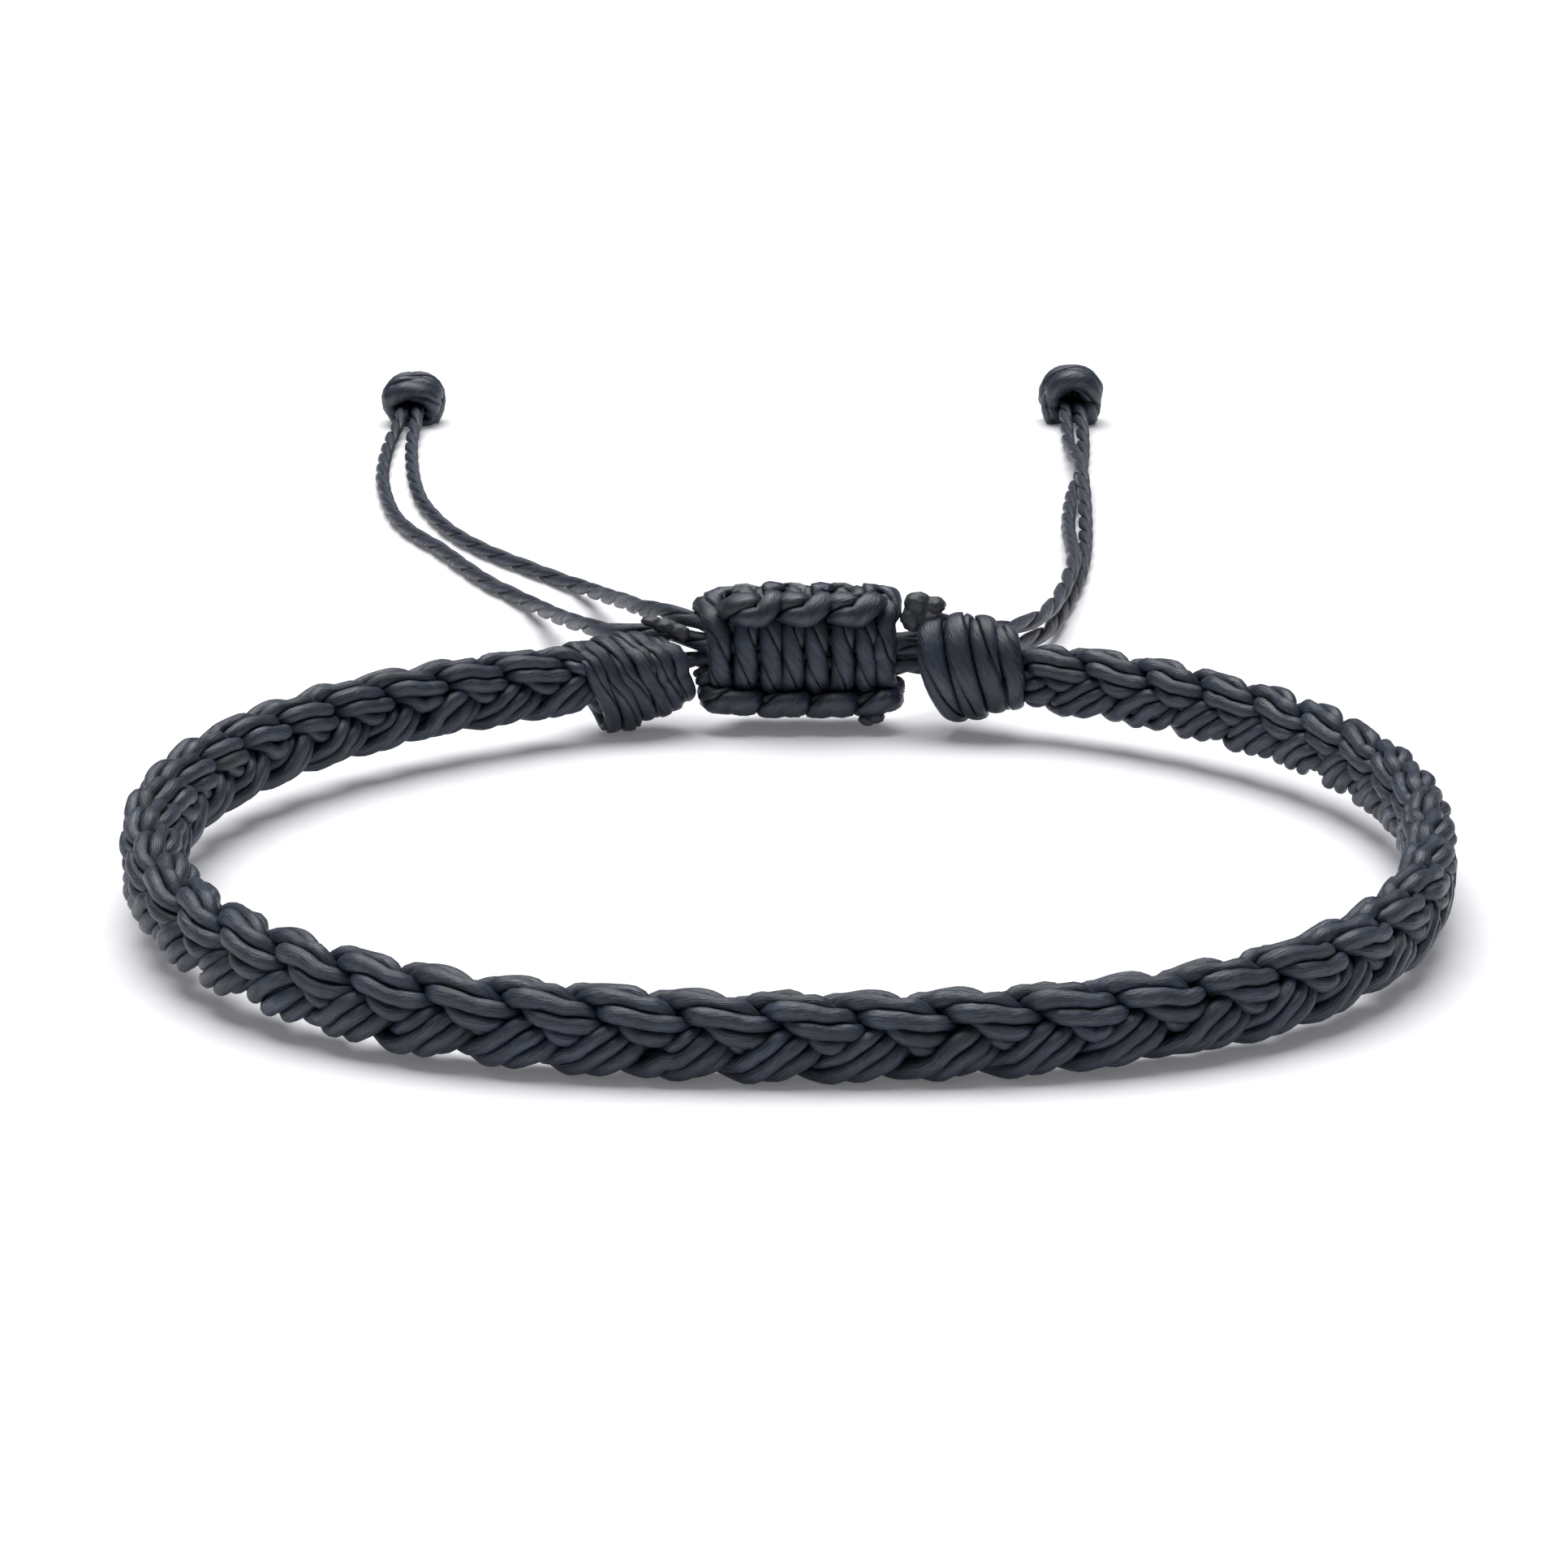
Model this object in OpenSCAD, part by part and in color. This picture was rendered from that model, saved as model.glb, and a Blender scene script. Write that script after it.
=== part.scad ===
// Plaited friendship bracelet with a sliding knot, lying on a table at its worn size.
// Three strands are plaited round the wrist from one stopper knot to the other. Two cords come
// out of each stopper knot, pass each other inside the sliding knot and end as a pair of tails,
// held together by a knot. X is to the right, Y to the back, Z up, and the table is at Z = 0.

/* [Loop] */
// Width of the loop, along the middle of the band
loop_w = 62.8; // [60:0.2:65]
// Depth of the loop, along the middle of the band
loop_d = 54; // [52:0.2:56]
// How far the oval swells at the back and narrows at the front, as a share of its radius
loop_pear = 0.022; // [0:0.001:0.03]
// How far the oval is squared off, as a share of its radius
loop_square = 0.014; // [0:0.001:0.02]
// How far the oval is turned and uneven from side to side, as a share of its radius
loop_uneven = 0.009; // [0:0.001:0.012]
// Height of the band's lower edge over the table at the two sides
lift_side = 1.3; // [0:0.1:2]
// The same height where the band meets the stopper knots
lift_back = 1.6; // [0:0.1:2]

/* [Plait] */
// Height of the band, from edge to edge
band_h = 3.9; // [3.6:0.1:4.2]
// How much looser and bigger the plait is on the left side, as a share of its size
loose_left = 0.13; // [0:0.01:0.15]
// The same share on the right side
loose_right = 0.02; // [0:0.01:0.15]
// Length along the band in which a strand goes to the other edge and back
plait_period = 11.25; // [10:0.05:12.5]
// Half the thickness of a strand, across the band's face
strand_half_thick = 0.48; // [0.4:0.01:0.5]
// Half the width of a strand at the band's edges
strand_half_edge = 0.62; // [0.5:0.01:0.65]
// Half the width of a strand where it crosses the middle
strand_half_middle = 0.74; // [0.6:0.01:0.76]
// How far a strand swings in front of and behind the band's middle
weave_depth = 0.82; // [0.8:0.01:0.9]
// Direction round the loop, in degrees, where the plait leaves the left stopper knot
plait_from = 113; // [113:0.5:120]
// Direction round the loop where the plait meets the right stopper knot
plait_to = 426; // [420:0.5:426]

/* [Knots] */
// Length of the left stopper knot, along the band
left_stopper_l = 6.2; // [5.8:0.1:6.3]
// Length of the right stopper knot
right_stopper_l = 5.6; // [5.2:0.1:5.7]
// Length of the sliding knot
sliding_l = 11.2; // [10.6:0.1:11.4]
// Height of the sliding knot
sliding_h = 6.8; // [6:0.1:7.2]
// Thickness of the sliding knot, front to back
sliding_t = 4.5; // [4.3:0.1:4.7]
// Number of square knots in the sliding knot, each with two bars on the front
square_knots = 4; // [3:1:6]

/* [Cords] */
// Diameter of the cords that make the tails
cord_d = 1; // [0.8:0.05:1]

/* [Hidden] */

slate = [0.22, 0.26, 0.30];
slate_light = [0.30, 0.35, 0.39];
slate_dark = [0.16, 0.19, 0.23];

// The loop's middle lies in front of the part's origin, because the knots stand out at the back
loop_centre = [0.35, -1.33];
// Place of the first strand in its weave at the middle of the front, where 90 is the top edge
plait_phase = 106;
strand_sides = 8;
strand_rings_per_period = 12;
cord_sides = 8;
// Clearance between the strands' ends and the stopper knots
gap = 0.12;
// Direction of the middle of the front, where the band rests on the table
front = 270;
// The band rises to its side height over the first turn from the front, and to its back height over the next
side_turn = 90;
back_turn = 60;
// The plait loosens and tightens again over this turn from the front, the most past its middle
loose_turn = 157;
loose_late = 1.4;

// Middle of the sliding knot
sliding_at = [0.45, 25.98, 4.4];
// Each stopper knot: its middle, its turn about Z, and half its height and thickness halfway along
left_stopper_at = [-8.7, 25, 3.2];
left_stopper_turn = 16;
left_stopper_half = [2.2, 2.5];
right_stopper_at = [10, 24.6, 4];
right_stopper_turn = -15;
right_stopper_half = [2.4, 2.85];
// Middles of the end knots, their half length, and half their width and height halfway along
end_knot_half_l = 2.2;
left_end_at = [-29.15, 108.3, 1.89];
left_end_half = [2.4, 1.9];
right_end_at = [21.95, 108.5, 2.34];
right_end_half = [2.35, 2.35];

// Routes of the four cords, from the stopper knot that each comes out of to its end knot
left_upper_route = [
    [6.9, 25.35, 4.85], [5.45, 25.35, 4.85], [3.45, 25.4, 5.05], [0.45, 25.75, 5.35], [-2.35, 26.15, 5.6],
    [-4.35, 26.3, 5.85], [-5.35, 26.55, 6.05], [-6.4, 27.35, 6.15], [-7.5, 29.4, 5.9], [-8.65, 32.7, 5.15],
    [-9.65, 38.4, 4], [-10.75, 44.3, 2.7], [-11.95, 50, 1.55], [-13.25, 54.4, 0.8], [-14.55, 56.9, 0.55],
    [-16.15, 59.2, 0.53], [-17.85, 61.6, 0.53], [-19.65, 64.2, 0.53], [-21.45, 67.3, 0.53],
    [-23.15, 70.9, 0.53], [-24.65, 75.3, 0.53], [-25.95, 80.2, 0.53], [-27.05, 86.7, 0.53],
    [-27.85, 93.4, 0.55], [-28.35, 98.9, 0.75], [-28.55, 102.9, 1.3], [-28.6, 105.9, 1.9]
];
left_lower_route = [
    [6.9, 25.35, 3.75], [5.45, 25.35, 3.75], [3.45, 25.35, 3.95], [0.45, 25.4, 4.3], [-2.35, 25.6, 4.65],
    [-4.35, 25.85, 4.85], [-5.35, 26.15, 5], [-6.4, 26.85, 5.1], [-7.8, 27.5, 5.1], [-9.45, 27.95, 5],
    [-10.75, 29.2, 4.8], [-11.75, 31.9, 4.3], [-12.75, 35.8, 3.5], [-14.05, 41.8, 2.25], [-15.35, 47.3, 1.25],
    [-16.55, 51.1, 0.7], [-17.85, 53.9, 0.53], [-19.35, 56.5, 0.53], [-21.25, 60.7, 0.53],
    [-23.45, 65.9, 0.53], [-25.45, 69.9, 0.53], [-27.05, 74.3, 0.53], [-28.25, 79.7, 0.53],
    [-29.25, 86.1, 0.53], [-29.75, 92, 0.53], [-29.95, 97.9, 0.65], [-29.85, 102.5, 1.2], [-29.7, 105.9, 1.9]
];
right_upper_route = [
    [-5.4, 26.2, 3.9], [-4.75, 26.35, 3.85], [-2.35, 26.65, 4.1], [0.45, 26.65, 4.5], [3.45, 26.55, 4.75],
    [5.25, 26.5, 4.75], [6.15, 26.65, 4.8], [6.85, 27.05, 4.8], [7.55, 27.75, 4.7], [8.35, 28.7, 4.55],
    [9.45, 30.1, 4.3], [11.05, 32.2, 3.9], [12.85, 35.1, 3.35], [14.45, 38.8, 2.75], [15.65, 43.1, 2.2],
    [16.55, 47.3, 1.8], [17.25, 50.9, 1.65], [17.85, 54.3, 1.63], [18.45, 58.9, 1.55], [18.7, 64.9, 1.2],
    [19.05, 71.9, 0.55], [19.65, 78.3, 0.53], [20.25, 82.9, 0.53], [20.95, 86.9, 0.53], [21.55, 91.9, 0.53],
    [22.05, 97.4, 0.6], [22.35, 102.4, 1.3], [22.5, 106.1, 2.2]
];
right_lower_route = [
    [-5.35, 25.6, 3], [-4.75, 25.75, 3], [-2.35, 26, 3.2], [0.45, 26.15, 3.35], [3.45, 26.4, 3.5],
    [5.25, 26.5, 3.6], [6.15, 26.65, 3.7], [6.85, 27, 3.65], [7.55, 27.7, 3.55], [8.35, 28.65, 3.4],
    [9.45, 30.05, 3.15], [11.05, 32.15, 2.75], [12.85, 35.05, 2.2], [14.45, 38.8, 1.6], [15.75, 43.1, 1.05],
    [16.65, 47.3, 0.7], [17.35, 50.9, 0.55], [18.05, 54.2, 0.53], [18.85, 58.7, 0.53], [19.65, 64.9, 0.53],
    [20.25, 71.9, 0.6], [20.65, 78.3, 1.1], [20.85, 82.9, 1.5], [20.95, 86.9, 1.63], [20.85, 91.9, 1.45],
    [20.95, 97.4, 0.95], [21.2, 102.4, 1.35], [21.35, 106.1, 2.2]
];

function unit(v) = v / norm(v);
function clamp01(x) = min(max(x, 0), 1);
// Goes from 0 to 1 with a level start and end
function ease(x) = let (c = clamp01(x)) c * c * (3 - 2 * c);

// The band's middle line

function plan_scale(t) = 1 - loop_pear * sin(3 * t) - loop_square * cos(4 * t)
    + loop_uneven * (sin(2 * t) - cos(3 * t) + sin(5 * t));
function plan(t) = [loop_w / 2 * cos(t), loop_d / 2 * sin(t)] * plan_scale(t) + loop_centre;

// The band rests on the table at the front and rises towards the sides and the knots
function lift(t) =
    let (from_front = abs(t - front))
    lift_side * ease(from_front / side_turn)
        + (lift_back - lift_side) * ease((from_front - side_turn) / back_turn);
// Size of the plait at t, where 1 is its size at the front and at the knots
function looseness(t) =
    let (share = t < front ? loose_left : loose_right)
    1 + share * sin(180 * pow(clamp01(abs(t - front) / loose_turn), loose_late));

function middle(t) = [plan(t).x, plan(t).y, band_h / 2 * looseness(t) + lift(t)];

// Length along the plan for each step of t, so that the plait keeps its pitch all the way round
plan_steps = 320;
plan_step = (plait_to - plait_from) / plan_steps;
plan_lengths = [
    for (i = 0, s = 0;
         i <= plan_steps;
         s = s + norm(plan(plait_from + (i + 1) * plan_step) - plan(plait_from + i * plan_step)),
         i = i + 1)
    [s, plait_from + i * plan_step]
];
plait_l = plan_lengths[plan_steps][0];
function direction_at(s) = lookup(s, plan_lengths);
front_s = lookup(front, [for (p = plan_lengths) [p[1], p[0]]]);

// The plait

// How far a strand's middle swings up and down
weave_height = band_h / 2 - strand_half_edge * cos(180 / strand_sides);
strand_rings = round(plait_l / plait_period * strand_rings_per_period);

small_turn = 0.5;
function outward(t) = let (d = plan(t + small_turn) - plan(t - small_turn)) unit([d.y, -d.x, 0]);
// Middle of a strand at length s, where phase is its place in the weave in degrees
function strand_point(s, phase) =
    let (t = direction_at(s))
    middle(t)
        + looseness(t) * ([0, 0, weave_height * sin(phase)] - outward(t) * weave_depth * sin(2 * phase));
function phase_at(s, strand) = 360 * (s - front_s) / plait_period + 120 * strand + plait_phase;
function strand_half_width(phase) =
    strand_half_edge + (strand_half_middle - strand_half_edge) * pow(cos(phase), 2);

function ring(at, side, rise, half_side, half_rise, sides) = [
    for (j = [0:sides - 1])
    let (a = 360 * (j + 0.5) / sides)
    at + side * half_side * cos(a) + rise * half_rise * sin(a)
];

function strand_ring(s, strand) =
    let (
        step = 0.1,
        phase = phase_at(s, strand),
        along = unit(strand_point(s + step, phase_at(s + step, strand))
            - strand_point(s - step, phase_at(s - step, strand))),
        t = direction_at(s),
        size = looseness(t),
        out = outward(t),
        thick = unit(out - along * (out * along)),
        wide = cross(along, thick)
    )
    ring(strand_point(s, phase), wide, thick,
        strand_half_width(phase) * size, strand_half_thick * size, strand_sides);

// A closed solid through rings of the same number of points, each end a flat fan
module skin(rings) {
    n = len(rings);
    sides = len(rings[0]);
    points = [for (r = rings) each r];
    walls = [
        for (i = [0:n - 2], j = [0:sides - 1])
        let (a = i * sides + j, b = i * sides + (j + 1) % sides)
        each [[a, b, b + sides], [a, b + sides, a + sides]]
    ];
    first = [for (j = [1:sides - 2]) [0, j + 1, j]];
    last = [for (j = [1:sides - 2]) [0, j, j + 1] + [1, 1, 1] * (n - 1) * sides];
    polyhedron(points, concat(walls, first, last), convexity = 10);
}

module plait_strand(strand) {
    // Stays a little inside both ends, clear of the stopper knots
    skin([
        for (i = [0:strand_rings])
        strand_ring(gap + (plait_l - 2 * gap) * i / strand_rings, strand)
    ]);
}

module plait_strand_1() { color(slate) plait_strand(0); }
module plait_strand_2() { color(slate_light) plait_strand(1); }
module plait_strand_3() { color(slate_dark) plait_strand(2); }

// The stopper knots and end knots: lumpy barrels whose ridges are the cords that wrap round them

// Below 1, the barrels are fuller towards their ends than an egg
barrel_fullness = 0.7;
// Length of a lump as a share of the barrel, and the turn that it covers
lump_l = 0.16;
lump_turn = 26;

// Size of a barrel at u, which runs from 0 at one end to 1 at the other; it is widest at the place given
function barrel_size(end, half, u, widest) =
    end + (half - end) * pow(sin(180 * pow(clamp01(u), ln(0.5) / ln(widest))), barrel_fullness);
function barrel_ridge(u, a, wraps, lean, depth) = 1 + depth * cos(360 * wraps * u + lean * a) * sin(180 * u);

// The lump is where the cords' turn stands out: [place along u, direction, height]
module barrel(l, end, half, widest, wraps, lean, depth, lump, rings, sides) {
    skin([
        for (i = [rings:-1:0])
        let (u = i / rings)
        [
            for (j = [0:sides - 1])
            let (
                a = 360 * j / sides,
                off = abs((a - lump[1] + 540) % 360 - 180),
                bulge = lump[2] * exp(-pow((u - lump[0]) / lump_l, 2) - pow(off / lump_turn, 2)),
                k = barrel_ridge(u, a, wraps, lean, depth)
            )
            [
                l * (u - 0.5),
                (barrel_size(end.x, half.x, u, widest) * k + bulge) * cos(a),
                (barrel_size(end.y, half.y, u, widest) * k + bulge) * sin(a)
            ]
        ]
    ]);
}

stopper_rings = 22;
stopper_sides = 18;
stopper_wraps = 4;
stopper_lean = -3;
stopper_ridge = 0.06;
stopper_widest = 0.42;
// Half thickness and half height of the knots' ends
left_stopper_end = [1.25, 1.25];
right_stopper_end = [1.25, 1.5];
left_stopper_lump = [0.34, 262, 0.7];
right_stopper_lump = [0.5, 250, 0.2];
// A short cut and melted cord end stands out of each knot: from, to, and radius of the melted tip
left_cut_end = [[-7.35, 25.5, 5], [-7.05, 25.8, 5.6], 0.6];
right_cut_end = [[9.15, 24.9, 6.2], [7.25, 25.5, 7.1], 0.9];
cut_end_r = 0.55;
cut_end_sides = 12;

module cut_end(end) {
    hull() {
        translate(end[0]) sphere(cut_end_r, $fn = cut_end_sides);
        translate(end[1]) sphere(end[2], $fn = cut_end_sides);
    }
}

module left_stopper_knot() {
    color(slate_light)
    union() {
        translate(left_stopper_at)
        rotate([0, 0, left_stopper_turn])
        barrel(left_stopper_l, left_stopper_end, left_stopper_half, stopper_widest, stopper_wraps,
            stopper_lean, stopper_ridge, left_stopper_lump, stopper_rings, stopper_sides);
        cut_end(left_cut_end);
    }
}

module right_stopper_knot() {
    color(slate_light)
    union() {
        translate(right_stopper_at)
        rotate([0, 0, right_stopper_turn])
        barrel(right_stopper_l, right_stopper_end, right_stopper_half, stopper_widest, stopper_wraps,
            stopper_lean, stopper_ridge, right_stopper_lump, stopper_rings, stopper_sides);
        cut_end(right_cut_end);
    }
}

// The sliding knot: a row of square knots tied round the four cords, with their passage left open

sliding_rings_per_bar = 4;
sliding_sides = 20;
sliding_bars = 2 * square_knots;
sliding_rings = sliding_bars * sliding_rings_per_bar;
// Size of the knot's ends as a share of its middle, and how soon it reaches its full size
sliding_end_share = 0.86;
sliding_fullness = 0.4;
bar_ridge = 0.05;
bump_ridge = 0.07;
// The passage at its left and right ends: its middle's place in the knot and its half width and height
passage_left = [0.15, 0.1, 1.5, 2.3];
passage_right = [0, -0.15, 1.45, 1.6];

function sliding_scale(u, a) =
    let (
        bars = bar_ridge * cos(360 * sliding_bars * u + 180) * pow(cos(a), 2),
        bumps = bump_ridge * cos(360 * square_knots * u + (sin(a) > 0 ? 180 : 0)) * pow(sin(a), 2),
        rounding = sliding_end_share + (1 - sliding_end_share) * pow(sin(180 * clamp01(u)), sliding_fullness)
    )
    (1 + bars + bumps) * rounding;

function sliding_outer(u) = [
    for (j = [0:sliding_sides - 1])
    let (a = 360 * j / sliding_sides, k = sliding_scale(u, a))
    [sliding_l * (u - 0.5), sliding_t / 2 * k * cos(a), sliding_h / 2 * k * sin(a)]
];

function sliding_passage(u) =
    let (p = passage_left + (passage_right - passage_left) * u)
    [
        for (j = [0:sliding_sides - 1])
        let (a = 360 * j / sliding_sides)
        [sliding_l * (u - 0.5), p[0] + p[2] * cos(a), p[1] + p[3] * sin(a)]
    ];

module sliding_knot() {
    // The outer rings run to the right and the passage's two rings run back to the left
    rings = concat([for (i = [0:sliding_rings]) sliding_outer(i / sliding_rings)],
        [sliding_passage(1), sliding_passage(0)]);
    n = len(rings);
    points = [for (r = rings) each r];
    faces = [
        for (i = [0:n - 1], j = [0:sliding_sides - 1])
        let (
            a = i * sliding_sides + j,
            b = i * sliding_sides + (j + 1) % sliding_sides,
            c = (i + 1) % n * sliding_sides + j,
            d = (i + 1) % n * sliding_sides + (j + 1) % sliding_sides
        )
        each [[a, d, b], [a, c, d]]
    ];
    color(slate)
    translate(sliding_at)
    polyhedron(points, faces, convexity = 10);
}

// The four cords

// A smooth curve through the route's points, with one more point between each two
function curve_point(route, i, f) =
    let (
        last = len(route) - 1,
        p0 = route[max(i - 1, 0)],
        p1 = route[i],
        p2 = route[min(i + 1, last)],
        p3 = route[min(i + 2, last)]
    )
    (2 * p1 + (p2 - p0) * f + (2 * p0 - 5 * p1 + 4 * p2 - p3) * f * f
        + (3 * p1 - p0 - 3 * p2 + p3) * f * f * f) / 2;
function curve(route) = [
    for (i = [0:len(route) - 2]) each [route[i], curve_point(route, i, 0.5)],
    route[len(route) - 1]
];

module cord(route) {
    path = curve(route);
    last = len(path) - 1;
    skin([
        for (i = [0:last])
        let (
            along = unit(path[min(i + 1, last)] - path[max(i - 1, 0)]),
            side = unit(cross(along, [0, 0, 1])),
            rise = cross(side, along)
        )
        ring(path[i], side, rise, cord_d / 2, cord_d / 2, cord_sides)
    ]);
}

module left_tail_upper_cord() { color(slate_dark) cord(left_upper_route); }
module left_tail_lower_cord() { color(slate_dark) cord(left_lower_route); }
module right_tail_upper_cord() { color(slate_dark) cord(right_upper_route); }
module right_tail_lower_cord() { color(slate_dark) cord(right_lower_route); }

end_knot_rings = 12;
end_knot_sides = 14;
end_knot_end = [1.2, 0.75];
end_knot_widest = 0.5;
end_knot_wraps = 2;
end_knot_lean = 1;
end_knot_ridge = 0.04;
no_lump = [0.5, 0, 0];

module end_knot(at, half) {
    translate(at)
    rotate([0, 0, 90])
    barrel(2 * end_knot_half_l, end_knot_end, half, end_knot_widest, end_knot_wraps,
        end_knot_lean, end_knot_ridge, no_lump, end_knot_rings, end_knot_sides);
}

module left_end_knot() { color(slate_light) end_knot(left_end_at, left_end_half); }
module right_end_knot() { color(slate_light) end_knot(right_end_at, right_end_half); }

plait_strand_1();
plait_strand_2();
plait_strand_3();
left_stopper_knot();
right_stopper_knot();
sliding_knot();
left_tail_upper_cord();
left_tail_lower_cord();
right_tail_upper_cord();
right_tail_lower_cord();
left_end_knot();
right_end_knot();
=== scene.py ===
# %% [markdown]
# # A plaited friendship bracelet
#
# The whole bracelet is waxed polyester cord. Two yarns, called plies, are twisted into each cord. The band
# is plaited from three bundles of yarns, a knot gathers each end, and a sliding knot holds the four tails.
#
# Cord could be faked with a bumpy tube, but its look comes from how the yarns lie on each other. So it is
# made here as a cordmaker makes it: lines are laid through space, they are pressed together, plies are
# wound round them, and only then do they get a surface. The frame holds the solid model, which gives the
# real sizes and places. All lengths below are in millimetres, and they are turned into metres when a mesh
# is made.

# %% The frame
import math

import bpy
import numpy as np
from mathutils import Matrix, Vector
from mathutils.kdtree import KDTree


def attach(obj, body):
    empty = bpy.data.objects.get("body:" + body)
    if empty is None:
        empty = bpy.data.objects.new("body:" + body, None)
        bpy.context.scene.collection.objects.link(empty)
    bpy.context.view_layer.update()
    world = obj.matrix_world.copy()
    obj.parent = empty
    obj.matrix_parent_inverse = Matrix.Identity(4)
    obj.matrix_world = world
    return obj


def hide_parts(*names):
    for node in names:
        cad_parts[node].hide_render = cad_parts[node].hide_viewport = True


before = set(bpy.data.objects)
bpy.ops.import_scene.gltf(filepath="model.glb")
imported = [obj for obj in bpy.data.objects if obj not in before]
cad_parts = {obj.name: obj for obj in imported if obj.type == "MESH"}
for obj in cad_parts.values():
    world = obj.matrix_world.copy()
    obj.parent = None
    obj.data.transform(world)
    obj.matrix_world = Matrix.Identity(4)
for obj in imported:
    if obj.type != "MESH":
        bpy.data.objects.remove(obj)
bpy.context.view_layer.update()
mm = 0.001
tau = 2 * math.pi
chance = np.random.default_rng(7)
print("nodes:", sorted(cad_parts))

# %% [markdown]
# ## Camera
#
# The photograph looks down on the bracelet at a shallow angle from near by, so the front of the loop is
# much bigger in the picture than its back. A camera could be moved about until the picture looks right. It
# is surer to work it out: how flat the oval looks gives the angle, and how fast the band shrinks gives the
# distance.

# %% Camera
aim = Vector((-0.36, 15.13, 0)) * mm
camera_distance = 200 * mm
camera_height = math.radians(17.49)

camera_data = bpy.data.cameras.new("camera")
camera_data.lens = 85.35
camera_data.clip_start = 5 * mm
camera = bpy.data.objects.new("camera", camera_data)
camera.location = aim + Vector((0, -math.cos(camera_height), math.sin(camera_height))) * camera_distance
camera.rotation_euler = (math.radians(90) - camera_height, 0, 0)
bpy.context.scene.collection.objects.link(camera)
bpy.context.scene.camera = camera
print("camera at", [round(v / mm, 1) for v in camera.location], "mm")

# %% [markdown]
# ## Lines through space
#
# A cord starts as a line, and a line is an array with a row for each point. Blender's own curve objects
# could draw it, but the points are pushed about later, so plain arrays are handier. These helpers measure a
# line, space its points evenly, and draw a smooth line through a few given points.

# %% Lines through space
def travelled(line):
    """Length along a line from its start to each of its points."""
    return np.concatenate([[0], np.cumsum(np.linalg.norm(np.diff(line, axis=0), axis=1))])


def even_steps(line, step):
    """The same line with its points a fixed step apart. Columns after x, y and z are carried along."""
    lengths = travelled(line[:, :3])
    places = np.linspace(0, lengths[-1], max(2, round(lengths[-1] / step) + 1))
    return np.stack([np.interp(places, lengths, column) for column in line.T], 1)


def smooth_line(route, step):
    """A smooth curve through every point of a route, with its points a fixed step apart."""
    p = np.array(route, float)
    before = np.vstack([p[:1], p[:-2]])
    after = np.vstack([p[2:], p[-1:]])
    a, b = p[:-1], p[1:]
    f = np.linspace(0, 1, 10, endpoint=False)[:, None, None]
    curve = (2 * a + (b - before) * f + (2 * before - 5 * a + 4 * b - after) * f**2
             + (3 * a - before - 3 * b + after) * f**3) / 2
    curve = curve.transpose(1, 0, 2).reshape(-1, 3)
    return even_steps(np.vstack([curve, p[-1:]]), step)


print("3 corners 10 mm apart give", len(smooth_line([(0, 0, 0), (10, 0, 0), (10, 10, 0)], 1)), "points")

# %% [markdown]
# ## Directions along a line
#
# To wind something round a line, each point needs its direction of travel and two directions square to it.
# The two could always be taken from straight up, but they would flip where the cord stands on end. Here
# they are carried from point to point instead and turn as little as they can.

# %% Directions along a line
def ease(x):
    """A soft step from 0 to 1 while x goes from 0 to 1."""
    x = np.clip(x, 0, 1)
    return x * x * (3 - 2 * x)


def unit(v):
    """The same directions with length 1."""
    return v / np.maximum(np.linalg.norm(v, axis=-1, keepdims=True), 1e-12)


def travel(line, closed=False):
    """The direction of travel at each point of a line."""
    if closed:
        return unit(np.roll(line, -1, 0) - np.roll(line, 1, 0))
    return unit(np.gradient(line, axis=0))


def carried_sides(along):
    """Two directions square to the line at each point, which turn as little as they can."""
    first = np.cross(along[0], (0, 0, 1.0))
    if np.linalg.norm(first) < 0.2:
        first = np.cross(along[0], (1.0, 0, 0))
    side = [first / np.linalg.norm(first)]
    for direction in along[1:]:
        carried = side[-1] - direction * (side[-1] @ direction)
        side.append(carried / np.linalg.norm(carried))
    side = np.array(side)
    return side, np.cross(along, side)


print("halfway through a soft step:", ease(0.5))

# %% [markdown]
# ## Twisted plies
#
# The plies of a cord turn round its middle at a steady lay, which is the length of one full turn. This cord
# has S twist, so its plies turn like a left-handed screw. A wrap of a knot is made as a closed ring, and
# its plies have to meet themselves again, so their lay is changed a little until a whole number of turns
# fits.

# %% Winding plies round a line
def wind(line, count, radius, lay, start=0.0, closed=False):
    """Lines wound with S twist round a line. A closed one gets a whole number of turns."""
    along = travel(line, closed)
    side, rise = carried_sides(along)
    lengths = travelled(line)
    if closed:
        whole = lengths[-1] + np.linalg.norm(line[-1] - line[0])
        back = carried_sides(np.vstack([along, along[:1]]))[0][-1]
        slip = math.atan2(back @ rise[0], back @ side[0])
        turns = max(1, round(whole / lay - slip / tau)) + slip / tau
        lay = whole / turns
    turned = tau * np.cumsum(np.gradient(lengths) / lay)
    wound = []
    for k in range(count):
        turn = (start + tau * k / count - turned)[:, None]
        wound.append(line + radius * (side * np.cos(turn) + rise * np.sin(turn)))
    return wound


test_ply = wind(smooth_line([(0, 0, 0), (20, 0, 0)], 0.5), 2, 0.25, 6.6)[0]
print("20 mm of cord takes %.2f mm of each ply" % travelled(test_ply)[-1])

# %% [markdown]
# ## The cords
#
# Every cord in the bracelet is first only a line with a thickness. They are collected in one list, so that
# all of them can be pressed against each other before any of them gets a surface.

# %% The list of cords
cords = []
cord_d = 1.0
cord_lay = 6.6
no_limit = 9.0


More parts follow.
